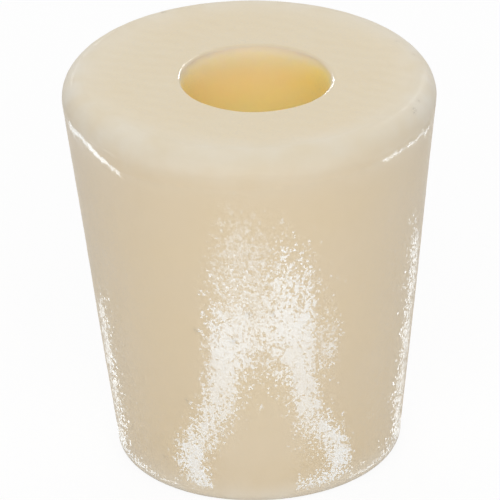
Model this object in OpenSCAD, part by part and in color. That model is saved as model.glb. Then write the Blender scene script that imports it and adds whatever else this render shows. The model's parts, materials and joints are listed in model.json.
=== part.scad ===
// One-hole laboratory stopper, moulded in one piece of rubber.
// It stands on its small end: the origin is the centre of that end's face, and +Z runs up to the
// large end. The wall is one straight taper that runs into a rounded edge at each end. The hole
// goes right through, parallel to the axis and a little to one side of it.

/* [Taper] */
// Diameter of the large end, at the corner that its face and the wall would make unrounded
top_d = 24; // [22:0.5:30]
// Diameter of the small end, at its own unrounded corner
bottom_d = 18; // [16:0.5:20]
// Height from the small end's face to the large end's face
height = 26; // [20:0.5:40]

/* [Outer edges] */
// Radius of the soft edge round the large end
rim_r = 1.4; // [0.4:0.1:2.5]
// Radius of the tighter edge round the small end
foot_r = 0.8; // [0.3:0.1:1.5]

/* [Hole] */
// Diameter of the hole
hole_d = 9.5; // [3:0.1:11]
// Radius of the rounding where the hole meets each end's face
lip_r = 0.2; // [0.1:0.05:0.5]
// How far the hole's axis lies from the stopper's own axis along X
hole_x = 0.4; // [-1:0.1:1]
// How far the hole's axis lies from the stopper's own axis along Y
hole_y = -0.5; // [-1:0.1:1]

/* [Hidden] */
// Facets round a full circle
$fn = 180;
// How far the hole's cutter runs out past each end's face, so that it cuts clean through
overrun = 1;
// How far the straight wall is set inside the two edge arcs, so that each arc always crosses it
// cleanly and never just grazes it
wall_inset = 0.0002;
// Angle between the wall and the axis
taper = atan((top_d - bottom_d) / 2 / height);

// Distance of the unrounded wall from the axis, at height z
function wall_at(z) = bottom_d / 2 + z * tan(taper);

// Centre of an edge's arc of radius r whose centre is at height z: r inside the wall, square to it
function arc_centre(z, r) = [wall_at(z) - r / cos(taper), z];

// The point at distance r from an arc's centre, square to the wall: where the two meet
function towards_wall(centre, r) = centre + r * [cos(taper), -sin(taper)];

// Half section of the stopper without its hole: straight lines between the ends of the two edge
// arcs, filled out to the arcs by a disc about each centre
module body_section() {
    rim = arc_centre(height - rim_r, rim_r);
    foot = arc_centre(foot_r, foot_r);
    polygon([
        [0, 0],
        [foot.x, 0],
        towards_wall(foot, foot_r - wall_inset),
        towards_wall(rim, rim_r - wall_inset),
        [rim.x, height],
        [0, height]
    ]);
    translate(rim) circle(r = rim_r);
    translate(foot) circle(r = foot_r);
}

// Half section of what the hole's mouth takes away at a face of height 0: a block as wide as the
// rounded mouth, less a disc, so that the lip it leaves is a quarter of a circle
module mouth_section() {
    mouth_r = hole_d / 2 + lip_r;
    difference() {
        translate([0, -lip_r]) square([mouth_r, lip_r + overrun]);
        translate([mouth_r, -lip_r]) circle(r = lip_r);
    }
}

// The hole's cutter: one straight bore, opening into a rounded mouth at each face
module hole() {
    translate([0, 0, -overrun]) cylinder(h = height + 2 * overrun, d = hole_d);
    translate([0, 0, height]) rotate_extrude() mouth_section();
    mirror([0, 0, 1]) rotate_extrude() mouth_section();
}

module stopper() {
    color("wheat")
    difference() {
        rotate_extrude() body_section();
        translate([hole_x, hole_y, 0]) hole();
    }
}

stopper();
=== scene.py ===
# %% [markdown]
# # A one-hole rubber stopper
#
# A laboratory stopper is a plug of natural rubber, pressed in a heated steel mould. This lesson
# builds one in Blender around a frame that already holds its true size and place, and gives it
# what a drawing leaves out: the slight unevenness of a moulding, and the look of satin cream
# rubber that lets a little light in.

# %% Load the frame
import json
import math

import bpy
import numpy as np
from mathutils import Matrix, Vector

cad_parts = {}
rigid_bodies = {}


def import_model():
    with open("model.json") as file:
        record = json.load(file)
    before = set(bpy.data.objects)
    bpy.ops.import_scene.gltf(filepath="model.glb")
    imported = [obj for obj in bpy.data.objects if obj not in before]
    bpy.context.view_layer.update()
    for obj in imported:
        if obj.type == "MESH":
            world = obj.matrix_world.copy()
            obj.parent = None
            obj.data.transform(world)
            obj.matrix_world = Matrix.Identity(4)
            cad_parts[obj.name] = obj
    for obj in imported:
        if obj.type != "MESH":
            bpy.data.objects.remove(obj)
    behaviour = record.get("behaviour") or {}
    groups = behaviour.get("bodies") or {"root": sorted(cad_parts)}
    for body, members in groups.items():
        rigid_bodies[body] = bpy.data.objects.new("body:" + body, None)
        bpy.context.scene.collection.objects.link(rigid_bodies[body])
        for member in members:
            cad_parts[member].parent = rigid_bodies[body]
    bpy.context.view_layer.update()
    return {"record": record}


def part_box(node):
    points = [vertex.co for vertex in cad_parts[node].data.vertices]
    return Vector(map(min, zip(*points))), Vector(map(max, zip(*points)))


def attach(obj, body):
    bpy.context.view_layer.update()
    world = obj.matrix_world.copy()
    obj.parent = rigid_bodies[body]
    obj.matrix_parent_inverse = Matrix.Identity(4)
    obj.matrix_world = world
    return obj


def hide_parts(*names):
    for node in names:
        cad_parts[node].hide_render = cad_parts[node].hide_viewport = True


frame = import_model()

# %% [markdown]
# ## Driving sizes
#
# Blender works in metres and the stopper is about an inch high, so every length is written as
# so many `MM`. What the frame knows is read from it: the height from the node's box, and the
# hole's radius, place and straight length from its mount. The two nominal diameters and the two
# edge radii are the ones the mould was drawn with, and the widest radius that they give is
# printed beside the box's.

# %% Sizes of the mould
MM = 0.001
low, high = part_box("stopper")
height = high.z - low.z
hole = next(m for m in frame["record"]["mounts"] if m["name"] == "hole")
hole_r = hole["dims"]["r_mm"] * MM
hole_xy = np.array(hole["pos_m"][:2])
lip_r = (height - hole["dims"]["length_mm"] * MM) / 2
top_r, bottom_r = 12 * MM, 9 * MM
rim_r, foot_r = 1.4 * MM, 0.8 * MM
taper = math.atan((top_r - bottom_r) / height)


def edge_centre(z, radius):
    """Distance from the axis of the centre of an edge arc at height z:
    the wall there, r_bottom + z tan(taper), less radius / cos(taper)."""
    return bottom_r + z * math.tan(taper) - radius / math.cos(taper)


rim_centre = edge_centre(height - rim_r, rim_r)
foot_centre = edge_centre(foot_r, foot_r)
print(f"height {height / MM:.2f} mm, hole {2 * hole_r / MM:.2f} mm, lip {lip_r / MM:.2f} mm,",
      f"widest radius {(rim_centre + rim_r) / MM:.3f} mm, the frame's {high.x / MM:.3f} mm")

# %% [markdown]
# ## The skin as one closed surface
#
# A stopper with a hole is a ring: its section is a closed loop, and turning the loop about the
# axis closes it again. So the whole skin is one grid, `rows` round the loop by `columns` round
# the axis, with no pole and no open seam. Walking round the loop, the stretches are the bore,
# the upper lip, the large end, the rim, the wall, the foot, the small end and the lower lip.
#
# The hole stands a little off the axis. Each row therefore has a weight that says how far it
# belongs to the hole: 1 on the bore and its lips, 0 on the wall and its edges, and sliding from
# one to the other across the two flat ends.

# %% Angles round the axis, and the lip's own radius
columns = 400
turn = np.linspace(0, 2 * np.pi, columns, endpoint=False)[None, :]
outward = np.stack([np.sin(turn), -np.cos(turn)], axis=-1)


def steps(count):
    """The values u = 0, 1/count, 2/count ... below 1, as a column, so that stretches join up."""
    return (np.arange(count) / count)[:, None]


def swell(angle, centre_deg, width_deg):
    """A smooth bump round a circle: exp(-(d / width)^2), with d the angle from its centre."""
    away = np.angle(np.exp(1j * (angle - math.radians(centre_deg))))
    return np.exp(-(away / math.radians(width_deg)) ** 2)


widest_deg, spread_deg, widening = 80, 35, 0.9
upper_waver, lower_waver = 0.12, 0.15
wide_part = widening * swell(turn, widest_deg, spread_deg)
upper_lip = lip_r * (1 + wide_part + upper_waver * np.cos(7 * turn + 1))
lower_lip = lip_r * (1 + lower_waver * np.cos(3 * turn))

# %% The loop of stretches
bore_rows, lip_rows, end_rows, rim_rows = 34, 8, 32, 18
wall_rows, foot_rows, small_end_rows = 118, 8, 14


def skin_rows():
    """Radius, height and hole weight over the grid, as (rows, columns) arrays.
    An arc of radius r about (c, h) is (c + r cos a, h + r sin a) for its own span of angles a."""
    flat = 0 * turn

    def arc(count, centre, level, radius, start, end, weight):
        a = start + (end - start) * steps(count)
        r, z = centre + radius * np.cos(a), level + radius * np.sin(a)
        return r + flat, z + flat, weight + 0 * a + flat

    def line(count, r0, z0, r1, z1, w0, w1):
        u = steps(count)
        return r0 + (r1 - r0) * u + flat, z0 + (z1 - z0) * u + flat, w0 + (w1 - w0) * u + flat

    quarter = math.pi / 2
    wall_out, wall_down = math.cos(taper), -math.sin(taper)
    stretches = [
        line(bore_rows, hole_r, lower_lip, hole_r, height - upper_lip, 1, 1),
        arc(lip_rows, hole_r + upper_lip, height - upper_lip, upper_lip, 2 * quarter, quarter, 1),
        line(end_rows, hole_r + upper_lip, height, rim_centre, height, 1, 0),
        arc(rim_rows, rim_centre, height - rim_r, rim_r, quarter, -taper, 0),
        line(wall_rows, rim_centre + rim_r * wall_out, height - rim_r + rim_r * wall_down,
             foot_centre + foot_r * wall_out, foot_r + foot_r * wall_down, 0, 0),
        arc(foot_rows, foot_centre, foot_r, foot_r, -taper, -quarter, 0),
        line(small_end_rows, foot_centre, 0, hole_r + lower_lip, 0, 0, 1),
        arc(lip_rows, hole_r + lower_lip, lower_lip, lower_lip, -quarter, -2 * quarter, 1),
    ]
    return [np.concatenate([s[k] for s in stretches]) for k in range(3)]


ring_r, ring_z, hole_weight = skin_rows()
rows = len(ring_r)
skin = np.empty((rows, columns, 3))
skin[..., :2] = hole_weight[..., None] * hole_xy + ring_r[..., None] * outward
skin[..., 2] = ring_z
print(f"grid {rows} x {columns}, {2 * rows * columns} triangles")

# %% Surface normals


def normals(points):
    """Unit normals of a closed grid: the cross product of its two central differences."""
    along = np.roll(points, -1, 0) - np.roll(points, 1, 0)
    around = np.roll(points, -1, 1) - np.roll(points, 1, 1)
    n = np.cross(around, along)
    return n / np.linalg.norm(n, axis=-1, keepdims=True)


# %% [markdown]
# ## What the mould leaves
#
# Rubber shrinks unevenly as it cools, so no wall is quite round and no face quite flat, and the
# skin is very slightly rippled. Each ripple is a sum of cosine waves in random directions, which
# needs no picture and no loop over the vertices. The ripples die away on the small end, which
# stands flat on the table.

# %% Ripples


def ripple(points, wavelength, seed, count=24):
    """Sum over k of cos(2 pi p.d_k / wavelength + f_k), scaled to about unit height, with
    random unit directions d_k and phases f_k."""
    rng = np.random.default_rng(seed)
    d = rng.normal(size=(count, 3))
    d /= np.linalg.norm(d, axis=1, keepdims=True)
    phase = rng.uniform(0, 2 * np.pi, count)
    return np.cos(points @ d.T * (2 * np.pi / wavelength) + phase).sum(-1) / math.sqrt(count / 2)


broad_height, broad_length = 0.012 * MM, 14 * MM
fine_height, fine_length = 0.003 * MM, 1.1 * MM
settled_below = 1.5 * MM
standing = np.clip(skin[..., 2] / settled_below, 0, 1) ** 2
relief = broad_height * ripple(skin, broad_length, seed=3)
relief = relief + fine_height * ripple(skin, fine_length, seed=5)

# %% [markdown]
# Small air bubbles trapped against the steel leave pits in the wall, a few tenths of a
# millimetre across. Each is a round dent. Those in front are placed one by one, as an azimuth in
# degrees and a height in millimetres, and the rest are scattered.

# %% Pits


def wall_point(angle_deg, z):
    """The point of the wall at an angle from the front and a height: radius r_bottom + z tan(taper)."""
    a = math.radians(angle_deg)
    r = bottom_r + z * math.tan(taper)
    return np.array([r * math.sin(a), -r * math.cos(a), z])


def spots(points, centres, widths):
    """Sum over the spots of exp(-(distance / width)^2), the distance taken straight to each centre."""
    away = np.linalg.norm(points[:, :, None, :] - centres, axis=-1)
    return np.exp(-(away / widths) ** 2).sum(-1)


pit_radius, pit_depth = 0.17 * MM, 0.05 * MM
placed_pits = [(5.5, 14.5), (-2.5, 14.5), (-8, 12.5), (-21, 13), (-27, 7.5), (-40.5, 2.5)]
scattered = 16
scatter = np.random.default_rng(11)
more_pits = zip(scatter.uniform(60, 300, scattered), scatter.uniform(3, 23, scattered))
pit_centres = np.array([wall_point(a, z * MM) for a, z in [*placed_pits, *more_pits]])
pit = spots(skin, pit_centres, pit_radius)
relief = standing * relief - pit_depth * pit
skin = skin + relief[..., None] * normals(skin)
print(f"{len(pit_centres)} pits, relief {relief.min() / MM:.3f} to {relief.max() / MM:.3f} mm")

# %% [markdown]
# The large end isn't quite square to the axis: the blank was trimmed about a degree off, so
# each point moves up in proportion to its height and to how far it stands to the left.

# %% The end's tilt
end_tilt = -0.0177
skin[..., 2] += skin[..., 2] / height * end_tilt * skin[..., 0]

# %% Put the skin into a mesh


def grid_mesh(name, points):
    """A closed quad mesh from a (rows, columns, 3) grid that wraps both ways."""
    n, m = points.shape[:2]
    i, j = np.meshgrid(np.arange(n), np.arange(m), indexing="ij")
    corner = [i * m + j, i * m + (j + 1) % m, (i + 1) % n * m + (j + 1) % m, (i + 1) % n * m + j]
    quads = np.stack(corner, axis=-1).reshape(-1, 4)
    mesh = bpy.data.meshes.new(name)
    mesh.from_pydata(points.reshape(-1, 3), [], quads)
    mesh.polygons.foreach_set("use_smooth", np.ones(len(quads), dtype=bool))
    mesh.update()
    piece = bpy.data.objects.new(name, mesh)
    bpy.context.scene.collection.objects.link(piece)
    return piece


stopper = grid_mesh("stopper_skin", skin)
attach(stopper, "root")
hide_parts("stopper")

# %% [markdown]
# ## Where the finish changes
#
# A material can't tell by itself which part of the stopper it is painting, so each vertex carries
# a few plain numbers that it can read: how deep down the hole, for its painted glow, how near an
# edge, for the bloom and painted light there, and where the dirt and the pits' painted shade go.
# The numbers come straight from the grid's own rows and columns, in the order of the vertices.
#
# The hole comes first. Its amber is painted light: the colour down the hole stands in for light that
# goes deep into the rubber and bounces round the bore, coming back amber, and more so at the two
# sides of the hole, where more of it has bounced between the walls. This share rises from 0 at the
# mouth as 1 - exp(-depth / d). At the sides d is short and it comes close to 1. Elsewhere it stops
# at three quarters.

# %% Attributes of the hole


def attribute(piece, name, values):
    """Stores one number per vertex, in grid order, under a name a material can read."""
    layer = piece.data.attributes.new(name, "FLOAT", "POINT")
    layer.data.foreach_set("value", np.ascontiguousarray(values, dtype=np.float32).ravel())


inside = (hole_weight > 0.999) & (ring_r < hole_r + upper_lip)
depth_mm = np.minimum(ring_z, height - ring_z) / MM
hole_depth = np.where(inside, depth_mm, 0)
between_sides_deg, side_sharpness = 190, 3
long_mm, shortening_mm = 2.75, 2.35
lowest_share = 0.75
aside = np.abs(np.sin(turn - math.radians(between_sides_deg))) ** side_sharpness
reach_mm = long_mm - shortening_mm * aside
# painted light: the glow share down the hole, for light bounced round the bore
painted_glow = (1 - np.exp(-hole_depth / reach_mm)) * (lowest_share + (1 - lowest_share) * aside)
attribute(stopper, "hole_depth", hole_depth)
attribute(stopper, "painted_glow", painted_glow)
print(f"hole depth to {hole_depth.max():.1f} mm, amber to {painted_glow.max():.2f}")

# %% [markdown]
# Years in a drawer rub an edge. The rubber there blooms to a paler grey and loses its gloss. The
# pale grey painted here is partly that bloom and partly painted light: the rim is painted paler at
# its two sides, where the lamps reach the rounding less, and at the foot the pale grey is painted
# light thrown up from the table. It fades away from the rim and the foot like a bell curve, and
# `rubbed` marks the part of the rim that no longer shines. `large_end` tells the flat end from the
# wall, which are painted slightly different creams, the end a touch lighter as painted light from
# above.

# %% Attributes of the edges
rim_reach, foot_reach = 2.0 * MM, 1.4 * MM
rim_share_all_round, painted_side_light_share, foot_painted_light_share = 0.55, 0.45, 0.7
edge_weight = (1 - hole_weight) ** 6
rim_near = np.exp(-((height - ring_z) / rim_reach) ** 2)
foot_near = np.exp(-(ring_z / foot_reach) ** 2)
rounding = np.clip((ring_r - rim_centre) / rim_r, 0, 1)
# painted light: the rim painted paler at its two sides, where the lamps reach it less
rim_share = rim_share_all_round + painted_side_light_share * rounding * np.sin(turn) ** 4
# partly rubbed bloom at the rim, painted light at the rim's sides and at the foot
bloom_and_painted_light = edge_weight * (rim_near * rim_share + foot_painted_light_share * foot_near)
large_end = np.clip(1 - (height - ring_z) / rim_r, 0, 1) + 0 * turn
attribute(stopper, "bloom_and_painted_light", bloom_and_painted_light)
attribute(stopper, "large_end", large_end)
print(f"bloom up to {bloom_and_painted_light.max():.2f} near the edges")

# %% [markdown]
# Just under the rim the mould's two halves leave a shoulder as fine as a hair, which shows only
# as a thin bright line on either side. It starts at the join of rim and wall and wanders down by
# up to a millimetre towards the front. `shoulder` is a narrow bell across that line: the coat's
# normal is lifted there. Above it the coat is rubbed off.

# %% Attributes of the shoulder
join = height - rim_r * (1 + math.sin(taper))
azimuth = np.degrees(np.angle(np.exp(1j * turn)))
drop_azimuths = [-62, -44, 37, 44, 60, 65, 71]
drops_mm = [0.12, 1.15, 0.6, 0.45, 0.47, 0.4, 0.7]
shown_azimuths = [-76, -72, -45, -43, 42, 44, 72, 76]
shown_shares = [0, 1, 1, 0, 0, 1, 1, 0]
waver_mm, line_reach = 0.04, 0.2 * MM
rub_start, rub_fade, rub_inward = 0.12 * MM, 0.15 * MM, 1.0 * MM
drop_mm = np.interp(azimuth, drop_azimuths, drops_mm)
wander_mm = waver_mm * (np.cos(47 * turn) + np.cos(83 * turn + 1))
shoulder_z = join - (drop_mm + wander_mm) * MM
shown = np.interp(azimuth, shown_azimuths, shown_shares)
shoulder = np.exp(-((ring_z - shoulder_z) / line_reach) ** 2) * shown * edge_weight
rising = np.clip((ring_z - shoulder_z - rub_start) / rub_fade, 0, 1)
reaching = np.clip((ring_r - rim_centre) / rub_inward + 1, 0, 1)
rubbed = edge_weight * rising * reaching
attribute(stopper, "shoulder", shoulder)
attribute(stopper, "rubbed", rubbed)
print(f"shoulder {drop_mm.min():.2f} to {drop_mm.max():.2f} mm below the join at {join / MM:.2f} mm")

# %% [markdown]
# The skin isn't equally matt all over. `grain` says how far the small facets of its gloss lean:
# less near the join and in the lip of the hole, and more low down on the wall.

# %% Attribute of the grain
calm_reach, calm_start, calming = 6 * MM, 1.3, 0.7
low_reach, roughening = 9 * MM, 0.6
lip_grain, lip_margin = 0.3, 0.2 * MM
near_join = np.clip(calm_start - (join - ring_z) / calm_reach, 0, 1) * edge_weight
low_down = np.clip(1 - ring_z / low_reach, 0, 1)
lip_zone = inside & (ring_z > height - upper_lip - lip_margin)
wall_grain = (1 - calming * near_join) * (1 + roughening * low_down)
grain = np.where(lip_zone, lip_grain, wall_grain) + 0 * turn
attribute(stopper, "grain", grain)
print(f"grain {grain.min():.2f} to {grain.max():.2f}")

# %% [markdown]
# A few dark scuffs sit on the rim's rounding, each a small soft spot like the pits. The pits are
# painted a little darker too, as painted shade in the dents, so they are added at part strength.

# %% Attribute of the dirt and of the pits' painted shade


def rim_point(angle_deg, up_deg):
    """The point of the rim's rounding at an angle from the front and an angle above level."""
    a, u = math.radians(angle_deg), math.radians(up_deg)
    r = rim_centre + rim_r * math.cos(u)
    return np.array([r * math.sin(a), -r * math.cos(a), height - rim_r + rim_r * math.sin(u)])


scuff_places = [(64, 42), (65.5, 46), (71, 52), (115, 88), (104, 70), (-150, 80)]
scuff_radius, pit_shade_share = 0.16 * MM, 0.6
scuff_centres = np.array([rim_point(*place) for place in scuff_places])
scuff = spots(skin, scuff_centres, scuff_radius)
# dirt in the scuffs, and the pits at part strength as painted shade
attribute(stopper, "scuff", scuff + pit_shade_share * pit)
print(f"{len(scuff_centres)} scuffs on the rim")

# %% [markdown]
# ## Cream rubber
#
# Natural rubber is tapped as white latex and cured with sulphur, which turns it cream. Light goes
# a little way into it, so the material has two layers: a soft body that scatters light, and a thin
# clear coat for the mould-polished surface. Painting is done with noise measured in millimetres,
# and short helpers keep the node graph readable.

# %% Helpers for nodes


def node(tree, kind, **settings):
    """Adds a node and sets its properties and, by socket name, its inputs."""
    made = tree.nodes.new(kind)
    for key, value in settings.items():
        if key in made.inputs:
            made.inputs[key].default_value = value
        else:
            setattr(made, key, value)
    return made


def set_inputs(shader, values):
    """Sets a shader's inputs from a dictionary of socket names and values."""
    for socket, value in values.items():
        shader.inputs[socket].default_value = value


def noise(tree, place, wavelength, detail=0.0):
    """Noise with features of about the given wavelength in metres: Scale is 1 / wavelength."""
    made = node(tree, "ShaderNodeTexNoise", Scale=1 / wavelength, Detail=detail)
    tree.links.new(place.outputs["Object"], made.inputs["Vector"])
    return made.outputs["Fac"]


def span(tree, value, low_in, high_in, low_out=0.0, high_out=1.0):
    """Maps a range of a value in a straight line to another range, and stops at its ends."""
    made = node(tree, "ShaderNodeMapRange")
    tree.links.new(value, made.inputs["Value"])
    for socket, number in zip(["From Min", "From Max", "To Min", "To Max"],
                              [low_in, high_in, low_out, high_out]):
        made.inputs[socket].default_value = number
    return made.outputs["Result"]


def times(tree, a, b):
    """The product of two values, the second either a value or a plain number."""
    made = node(tree, "ShaderNodeMath", operation="MULTIPLY")
    tree.links.new(a, made.inputs[0])
    if isinstance(b, (int, float)):
        made.inputs[1].default_value = b
    else:
        tree.links.new(b, made.inputs[1])
    return made.outputs[0]


def blend(tree, share, a, b):
    """Mixes colour a towards colour b by a share; each is a colour or another node's output."""
    made = node(tree, "ShaderNodeMix", data_type="RGBA")
    tree.links.new(share, made.inputs["Factor"])
    for socket, colour in ((made.inputs[6], a), (made.inputs[7], b)):
        if isinstance(colour, tuple):
            socket.default_value = (*colour, 1)
        else:
            tree.links.new(colour, socket)
    return made.outputs[2]


def read(tree, name):
    """The value of one of the vertex attributes."""
    return node(tree, "ShaderNodeAttribute", attribute_name=name).outputs["Fac"]


# %% [markdown]
# The body's colour goes on in layers, like washes of paint. Cream comes first, a different one for
# the end and the wall, the end painted a touch lighter as painted light from above, then faint yellow
# clouds of aged rubber, then the pale grey of the edges in uneven patches, partly rubbed bloom and
# partly painted light, then the dirt of the scuffs and the painted shade of the pits. Down the hole a
# ramp of ambers takes over, painted light for the glow of the bore, read from the two attributes of
# the hole.

# %% Colours
# painted light: the large end's cream is a touch lighter than the wall's, for the light from above
cream_end_painted_lighter, cream_wall = (0.733, 0.626, 0.435), (0.729, 0.597, 0.408)
yellowed, bloom_and_light_grey = (0.735, 0.588, 0.360), (0.81, 0.765, 0.675)
dirt_and_pit_shade = (0.42, 0.36, 0.28)
# painted light: the ambers down the hole, lighter deep down, stand in for the glow of the bore
painted_glow_steps = [(0.0, (0.80, 0.69, 0.56)), (0.3, (0.83, 0.69, 0.455)),
               (0.6, (0.94, 0.71, 0.30)), (1.0, (0.99, 0.705, 0.23))]
painted_deep_glow, deep_glow_share = (1.0, 0.85, 0.50), 0.7
cloud_mm, patch_mm, speck_mm = 5, 2.2, 0.12
cloud_share, least_patch = 0.35, 0.55
print(f"amber from {painted_glow_steps[0][1]} at the mouth to {painted_deep_glow} deep down")


def rubber_colour(tree, place):
    """Cream, the end painted lighter, with faint warm clouds, paler grey at the edges (rubbed bloom and
    painted light), dark in scuffs, painted shade in the pits, and a painted amber glow down the hole.
    """
    # the end painted lighter than the wall, as painted light from above
    body = blend(tree, read(tree, "large_end"), cream_wall, cream_end_painted_lighter)
    clouds = span(tree, noise(tree, place, cloud_mm * MM, 3), 0.35, 0.75, 0, cloud_share)
    body = blend(tree, clouds, body, yellowed)
    patches = span(tree, noise(tree, place, patch_mm * MM, 2), 0.3, 0.65, least_patch, 1)
    # the pale grey of the edges: partly rubbed bloom, partly painted light
    body = blend(tree, times(tree, read(tree, "bloom_and_painted_light"), patches), body, bloom_and_light_grey)
    specks = span(tree, noise(tree, place, speck_mm * MM, 1), 0.35, 0.6)
    # dark dirt in the scuffs and painted shade in the pits
    body = blend(tree, times(tree, read(tree, "scuff"), specks), body, dirt_and_pit_shade)
    depth = read(tree, "hole_depth")
    ramp = node(tree, "ShaderNodeValToRGB")
    tree.links.new(read(tree, "painted_glow"), ramp.inputs["Fac"])
    elements = ramp.color_ramp.elements
    while len(elements) < len(painted_glow_steps):
        elements.new(0.5)
    for element, (position, colour) in zip(elements, painted_glow_steps):
        element.position = position
        element.color = (*colour, 1)
    # painted light: lighter still deep down the hole
    deepening = span(tree, depth, 2, 5, 0, deep_glow_share)
    inside_colour = blend(tree, deepening, ramp.outputs["Color"], painted_deep_glow)
    return blend(tree, span(tree, depth, 0.02, 0.2), body, inside_colour)


# %% [markdown]
# ## A skin of tiny facets
#
# The steel mould was blasted with fine grit before it was polished, and the rubber copies it: the
# coat is made of facets about a tenth of a millimetre across, most of them nearly level and a few
# leaning. A lit thing mirrored in such a skin breaks up into specks. Each cell of a Voronoi
# pattern is one facet, and its random colour serves as the direction it leans in. Only the coat
# has facets. The body underneath gets a soft orange peel instead.

# %% Normals of the body and of the coat
facet_mm, wild_lean, mild_lean, shoulder_lift = 0.135, 0.10, 0.015, 0.07
peel_mm, peel_depth_mm = 0.9, 0.008


def orange_peel(tree, place):
    """Normals of the body: a soft unevenness about a millimetre across."""
    peel = node(tree, "ShaderNodeBump", Strength=1.0, Distance=peel_depth_mm * MM)
    tree.links.new(noise(tree, place, peel_mm * MM, 1), peel.inputs["Height"])
    return peel.outputs["Normal"]


def vector(tree, operation, a, b=None):
    """One step of vector arithmetic on outputs or plain triples."""
    made = node(tree, "ShaderNodeVectorMath", operation=operation)
    for socket, value in zip(made.inputs, (a, b)):
        if isinstance(value, tuple):
            socket.default_value = value
        elif value is not None:
            tree.links.new(value, socket)
    return made.outputs[0]


def facets(tree, place, normal, size, wild, mild):
    """Normals of a blasted skin, one for each tiny cell: n + grain (wild c^3 + mild c) + lift, made
    unit again. Here c is the cell's own random vector between -1 and 1. The cube keeps most cells
    nearly level and lets a few lean a long way. The lift tips the normal up on the shoulder."""
    cells = node(tree, "ShaderNodeTexVoronoi", Scale=1 / size)
    tree.links.new(place.outputs["Object"], cells.inputs["Vector"])
    centred = vector(tree, "SUBTRACT", cells.outputs["Color"], (0.5, 0.5, 0.5))
    c = vector(tree, "MULTIPLY", centred, (2, 2, 2))
    cube = vector(tree, "MULTIPLY", vector(tree, "MULTIPLY", c, c), c)
    lean = vector(tree, "ADD", vector(tree, "MULTIPLY", cube, (wild,) * 3),
                  vector(tree, "MULTIPLY", c, (mild,) * 3))
    lean = vector(tree, "MULTIPLY", lean, read(tree, "grain"))
    lift = vector(tree, "MULTIPLY", read(tree, "shoulder"), (0.0, 0.0, shoulder_lift))
    lean = vector(tree, "ADD", lean, lift)
    return vector(tree, "NORMALIZE", vector(tree, "ADD", normal, lean))


print(f"facets of {facet_mm} mm lean up to {math.degrees(wild_lean + mild_lean):.0f} degrees")

# %% [markdown]
# ## The two layers put together
#
# The body has no gloss of its own, only a slight sheen, the pale dust that shows where rubber is
# seen edge on. It scatters light under the surface only down the hole, where a scale of 9 mm lets
# the amber glow. The coat has a low roughness, and it is dulled in two places: on the rubbed rim,
# and where the skin is seen nearly edge on, since the grain of a satin skin shades itself at such
# a low angle.

# %% Rubber
body_finish = {"Roughness": 0.5, "Specular IOR Level": 0.0, "Sheen Weight": 0.28,
               "Sheen Roughness": 0.5, "Coat Roughness": 0.12}
scattering = {"Subsurface Radius": (1.0, 0.85, 0.5), "Subsurface Scale": 9 * MM}
coat_when_rubbed, coat_edge_on = 0.05, 0.35


def stopper_rubber():
    """The material: scattering body colour under a faceted clear coat."""
    material = bpy.data.materials.new("stopper_rubber")
    material.use_nodes = True
    tree = material.node_tree
    shader = tree.nodes["Principled BSDF"]
    place = node(tree, "ShaderNodeTexCoord")
    depth = read(tree, "hole_depth")
    tree.links.new(rubber_colour(tree, place), shader.inputs["Base Color"])
    set_inputs(shader, {**body_finish, **scattering})
    tree.links.new(span(tree, depth, 0, 0.5), shader.inputs["Subsurface Weight"])
    body = orange_peel(tree, place)
    tree.links.new(body, shader.inputs["Normal"])
    facing = node(tree, "ShaderNodeLayerWeight", Blend=0.5).outputs["Facing"]
    unrubbed = span(tree, read(tree, "rubbed"), 0, 1, 1, coat_when_rubbed)
    face_on = span(tree, facing, 0.5, 0.8, 1, coat_edge_on)
    tree.links.new(times(tree, unrubbed, face_on), shader.inputs["Coat Weight"])
    coat = facets(tree, place, body, facet_mm * MM, wild_lean, mild_lean)
    tree.links.new(coat, shader.inputs["Coat Normal"])
    return material


stopper.data.materials.append(stopper_rubber())
print("material:", stopper.data.materials[0].name)

# %% [markdown]
# ## The table
#
# The stopper stands on a wide white table. To the lamps the table is plain matt white, so it takes
# a shadow and throws light back up. To the camera it shines almost evenly white, and the small
# share that doesn't keeps the shadow faintly visible.

# %% Table
table_half, table_white, glow_share = 3000, 0.9, 0.92
table_level, card_level = -0.01 * MM, 0.05 * MM


def white_table():
    """Matt white that a camera ray sees mostly as a plain glow."""
    material = bpy.data.materials.new("white_table")
    material.use_nodes = True
    tree = material.node_tree
    shader = tree.nodes["Principled BSDF"]
    set_inputs(shader, {"Base Color": (table_white, table_white, table_white, 1),
                        "Roughness": 1.0, "Specular IOR Level": 0.0})
    glow = node(tree, "ShaderNodeEmission")
    rays = node(tree, "ShaderNodeLightPath")
    mix = node(tree, "ShaderNodeMixShader")
    tree.links.new(times(tree, rays.outputs["Is Camera Ray"], glow_share), mix.inputs["Fac"])
    tree.links.new(shader.outputs[0], mix.inputs[1])
    tree.links.new(glow.outputs[0], mix.inputs[2])
    tree.links.new(mix.outputs[0], tree.nodes["Material Output"].inputs["Surface"])
    return material


def flat_sheet(name, corners, level, material):
    """A level polygon of the studio, from its corners in millimetres."""
    mesh = bpy.data.meshes.new(name)
    mesh.from_pydata([(x * MM, y * MM, level) for x, y in corners], [], [tuple(range(len(corners)))])
    sheet = bpy.data.objects.new(name, mesh)
    sheet.data.materials.append(material)
    bpy.context.scene.collection.objects.link(sheet)
    return sheet


table_corners = [(-table_half, -table_half), (table_half, -table_half),
                 (table_half, table_half), (-table_half, table_half)]
flat_sheet("table", table_corners, table_level, white_table())
print(f"table {2 * table_half / 1000:.0f} m across")

# %% [markdown]
# ## The camera
#
# The view is from the front, 27 degrees above level, with a long lens half a metre away, so the
# perspective is mild. The camera is rolled by less than two degrees, and the stopper's middle
# stands a few pixels off the middle of a 500 pixel square. `focal_px` is the focal length in
# pixels, and the lens follows from it and the width of the sensor.

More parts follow.
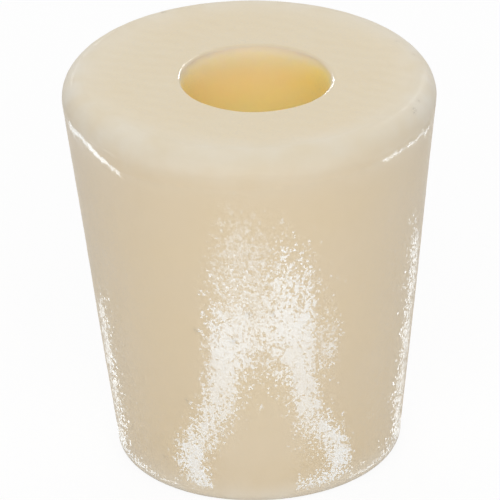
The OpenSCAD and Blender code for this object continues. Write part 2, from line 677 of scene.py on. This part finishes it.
# %% Camera
elevation, roll = math.radians(27.34), math.radians(-1.773)
distance = 540 * MM
focal_px, frame_px = 8471, 500
middle_px = (4.35, 7.22)
back = Vector((0, -math.cos(elevation), math.sin(elevation)))
level_right, level_up = Vector((1, 0, 0)), Vector((0, math.sin(elevation), math.cos(elevation)))
right = math.cos(roll) * level_right + math.sin(roll) * level_up
up = math.cos(roll) * level_up - math.sin(roll) * level_right
metres_per_px = distance / focal_px
aside_m, above_m = (v * metres_per_px for v in middle_px)
aim = Vector((0, 0, height / 2)) - right * aside_m + up * above_m
eye = aim + back * distance
camera_data = bpy.data.cameras.new("camera")
camera_data.sensor_width = 36
camera_data.lens = focal_px / frame_px * camera_data.sensor_width
camera = bpy.data.objects.new("camera", camera_data)
turned = Matrix((right, up, back)).transposed().to_4x4()
camera.matrix_world = Matrix.Translation(eye) @ turned
bpy.context.scene.collection.objects.link(camera)
bpy.context.scene.camera = camera
bpy.context.scene.view_settings.view_transform = "Standard"
print(f"lens {camera_data.lens:.0f} mm at {distance / MM:.0f} mm")

# %% [markdown]
# ## What the wall mirrors
#
# The wall leans outwards as it rises, so it mirrors the table in front of it. The bright patch on
# the wall is the image of lit paper lying there. It is easiest to say where on the wall the patch
# shows, as azimuths in degrees and heights in millimetres, and to let the law of reflection find
# the paper: a ray from the camera to that place is turned there and followed down to the table.
# Cards lie at the places found, seen by mirror-like rays and by nothing else, so they light
# nothing and cast no shadow. The facets do the rest: they break each card's image into specks that
# thin out past its edge.

# %% From the wall to the table


def mirrored(azimuth_deg, z_mm):
    """The point of the table, in millimetres, that the camera sees in the wall at a place.
    The ray d from the eye leaves the wall as d - 2 (d.n) n, with n the wall's unit normal."""
    a = math.radians(azimuth_deg)
    n = Vector((math.sin(a) * math.cos(taper), -math.cos(a) * math.cos(taper), -math.sin(taper)))
    spot = Vector(wall_point(azimuth_deg, z_mm * MM))
    d = spot - eye
    leaving = d - 2 * d.dot(n) * n
    ground = spot - leaving * (spot.z / leaving.z)
    return ground.x / MM, ground.y / MM


print("the wall at 0 degrees and 12 mm mirrors", [round(v, 1) for v in mirrored(0, 12)])

# %% Cards on the table
cool_white, plain_white = (0.52, 0.73, 1.0), (0.80, 0.90, 1.0)


def glowing(name, tint, strength):
    """A material that shines with one even colour."""
    material = bpy.data.materials.new(name)
    material.use_nodes = True
    tree = material.node_tree
    tree.nodes.remove(tree.nodes["Principled BSDF"])
    glow = node(tree, "ShaderNodeEmission", Color=(*tint, 1), Strength=strength)
    tree.links.new(glow.outputs[0], tree.nodes["Material Output"].inputs["Surface"])
    return material


def only_for_mirrors(sheet):
    """Hides a sheet from every kind of ray but the glossy ones."""
    sheet.visible_camera = sheet.visible_diffuse = False
    sheet.visible_transmission = sheet.visible_shadow = False


def card(name, corners, strength, tint=cool_white):
    """A lit sheet lying just above the table that only mirror-like rays see."""
    sheet = flat_sheet(name, corners, card_level, glowing(name, tint, strength))
    only_for_mirrors(sheet)
    return sheet


def image_card(name, places, strength, tint=cool_white):
    """A card whose mirror image fills an outline on the wall, given by azimuths and heights."""
    return card(name, [mirrored(azimuth, z) for azimuth, z in places], strength, tint)


# %% The bright patch, piece by piece
patch_strength, bar_strength, between_strength = 8, 10.5, 1.5
left_leg = [(-26, 1), (-35, 3), (-32, 4), (-23, 6), (-19, 8), (-17, 10), (-17, 12),
            (-5.5, 10.5), (-8, 9), (-9, 7.5), (-15, 6), (-23, 3.5), (-24, 2.3), (-18, 1)]
right_leg = [(29, 1), (38.5, 2.2), (35, 4), (25, 6), (20, 8), (20, 14.5), (8, 11), (11, 10),
             (13.5, 8), (13.5, 6.5), (24, 4.3), (29, 2.8), (29, 1.8), (14, 1.2), (14, 1)]
bar = [(-17, 12), (-5.5, 10.5), (-1.5, 11.5), (3, 11.8), (8, 11), (20, 14.5), (19.5, 16.6),
       (15.5, 16), (11, 16.8), (10, 18.1), (7, 17.5), (5.5, 16.2), (2, 15.1), (-10, 15.3), (-15, 14.6)]
between = [(-15, 2.5), (15, 2.5), (21, 4), (13, 6.5), (9.5, 9), (-6.5, 9), (-10.5, 7), (-19, 4)]
lower_wisp = [(-13.5, 18), (2, 16.3), (3, 17.5), (-12, 19)]
upper_wisp = [(-9.5, 19.3), (4, 18.1), (3, 19.3), (-7.5, 20.3)]
right_patch = [(22, 11), (27, 10.6), (29.5, 11.8), (27, 12.8), (22, 12.2)]
left_fleck = [(-14.5, 17.3), (-12, 16.6), (-11.5, 17.6), (-13.5, 18.2)]
image_card("card_left_leg", left_leg, patch_strength)
image_card("card_right_leg", right_leg, patch_strength)
image_card("card_bar", bar, bar_strength)
image_card("card_between", between, between_strength, plain_white)
image_card("card_far_near", lower_wisp, patch_strength)
image_card("card_far", upper_wisp, patch_strength)
image_card("card_right_patch", right_patch, patch_strength)
image_card("card_far_left", left_fleck, patch_strength)

# %% [markdown]
# Near the outline the wall is seen so nearly edge on that it mirrors what lies beside and behind
# it. An upright band of bright table there shows as a thin speckled seam just inside the outline.

# %% Bands along the two sides
seam_strength = 5.5


def side_band(azimuths, heights, count=7):
    """The outline on the wall of an upright band: up along one azimuth, down along the other."""
    levels = np.linspace(*heights, count)
    return [(azimuths[0], z) for z in levels] + [(azimuths[1], z) for z in levels[::-1]]


image_card("card_edge_left", side_band((-74.5, -69.5), (1, 12)), seam_strength, plain_white)
image_card("card_edge_right", side_band((69.5, 74.5), (1, 16)), seam_strength, plain_white)

# %% [markdown]
# Two more lit bands lie farther out, one on either side. The plain wall never mirrors them. The
# shoulder does, as its normal is lifted, and it squeezes each band into a thin line. A third pair
# lies close in, where the foot's rounding begins to mirror the table.

# %% Bands for the shoulder and the foot
rim_band, foot_band = (47, 62), (9.45, 9.7)
dim_band, bright_band = 5, 8


def arc_card(name, azimuths, radii, strength):
    """A card on the table in the shape of a band round the stopper, from azimuth to azimuth and
    between two radii in millimetres. A corner at azimuth a and radius r is (r sin a, -r cos a)."""
    near, far = radii
    a = np.radians(np.linspace(*azimuths, 13))
    edges = [(near, a), (far, a[::-1])]
    ring = [(r * math.sin(v), -r * math.cos(v)) for r, angles in edges for v in angles]
    return card(name, ring, strength, plain_white)


arc_card("card_left_rim_far", (-140, -110), rim_band, dim_band)
arc_card("card_left_rim_near", (-110, -75), rim_band, bright_band)
arc_card("card_right_rim_near", (64, 110), rim_band, bright_band)
arc_card("card_right_rim_far", (110, 140), rim_band, dim_band)
arc_card("card_left_foot", (-105, -40), foot_band, dim_band)
arc_card("card_right_foot", (40, 105), foot_band, dim_band)

# %% [markdown]
# The hole's small rounded lip turns through every slope in two tenths of a millimetre. At its
# sides it catches two bright windows that stand behind the table, each given by the span of
# azimuth and elevation that it fills as seen from the large end.

# %% Windows for the lip
window_distance, window_strength = 350, 13


def standing_card(name, azimuths, elevations, distance, strength):
    """A card that only mirror-like rays see, upright at a distance in millimetres. A corner at
    azimuth a and elevation e is (d sin a, -d cos a, height + d tan e)."""
    reach = distance * MM
    points = []
    for side, level in ((0, 0), (1, 0), (1, 1), (0, 1)):
        a, e = math.radians(azimuths[side]), math.radians(elevations[level])
        points.append((reach * math.sin(a), -reach * math.cos(a), height + reach * math.tan(e)))
    mesh = bpy.data.meshes.new(name)
    mesh.from_pydata(points, [], [(0, 1, 2, 3)])
    sheet = bpy.data.objects.new(name, mesh)
    sheet.data.materials.append(glowing(name, (1, 1, 1), strength))
    bpy.context.scene.collection.objects.link(sheet)
    only_for_mirrors(sheet)
    return sheet


standing_card("card_lip_left", (150, 157), (3, 46), window_distance, window_strength)
standing_card("card_lip_right", (-174, -152), (5, 12), window_distance, window_strength)
cards = [o.name for o in bpy.data.objects if o.name.startswith("card_")]
print(f"{len(cards)} cards:", ", ".join(cards))

# %% [markdown]
# ## Light
#
# Two big soft lamps and an even sky light the stopper. One lamp is in front and one behind, both
# at about 45 degrees, and the sky's strength decides how deep the shading goes: more sky, flatter
# shading. The sky is plain white where the camera or a mirror-like ray looks at it.

# %% Sky
sky_light, sky_seen = 0.30, 1.0
world = bpy.data.worlds.new("studio")
bpy.context.scene.world = world
world.use_nodes = True
sky = world.node_tree
set_inputs(sky.nodes["Background"], {"Color": (1, 1, 1, 1), "Strength": sky_light})
backdrop = node(sky, "ShaderNodeBackground", Strength=sky_seen, name="Backdrop")
set_inputs(backdrop, {"Color": (1, 1, 1, 1)})

rays = node(sky, "ShaderNodeLightPath")
mirrored_or_through = node(sky, "ShaderNodeMath", operation="ADD", use_clamp=True)
sky.links.new(rays.outputs["Is Glossy Ray"], mirrored_or_through.inputs[0])
sky.links.new(rays.outputs["Is Transmission Ray"], mirrored_or_through.inputs[1])
seen = node(sky, "ShaderNodeMath", operation="ADD", use_clamp=True)
sky.links.new(rays.outputs["Is Camera Ray"], seen.inputs[0])
sky.links.new(mirrored_or_through.outputs[0], seen.inputs[1])

mixed = node(sky, "ShaderNodeMixShader")
sky.links.new(seen.outputs[0], mixed.inputs["Fac"])
sky.links.new(sky.nodes["Background"].outputs[0], mixed.inputs[1])
sky.links.new(backdrop.outputs[0], mixed.inputs[2])
sky.links.new(mixed.outputs[0], sky.nodes["World Output"].inputs["Surface"])
print(f"sky {sky_light:.2f}, seen as {sky_seen:.1f}")

# %% Lamps
lamp_distance, lamp_size = 0.9, 0.8
front_power, back_power = 5.5, 4.0


def softbox(name, azimuth, elevation, distance, size, power):
    """A square area light that faces the stopper's middle from a direction in degrees.
    Azimuth 0 is the front, where -Y is, and 90 is the right."""
    a, e = math.radians(azimuth), math.radians(elevation)
    toward = Vector((math.sin(a) * math.cos(e), -math.cos(a) * math.cos(e), math.sin(e)))
    data = bpy.data.lights.new(name, "AREA")
    data.shape, data.size, data.energy = "SQUARE", size, power
    lamp = bpy.data.objects.new(name, data)
    lamp.location = Vector((0, 0, height / 2)) + toward * distance
    lamp.rotation_mode = "QUATERNION"
    lamp.rotation_quaternion = toward.to_track_quat("Z", "Y")
    lamp.visible_camera = lamp.visible_glossy = False
    bpy.context.scene.collection.objects.link(lamp)
    return lamp


softbox("front", 0, 42, lamp_distance, lamp_size, front_power)
softbox("back", 180, 45, lamp_distance, lamp_size, back_power)
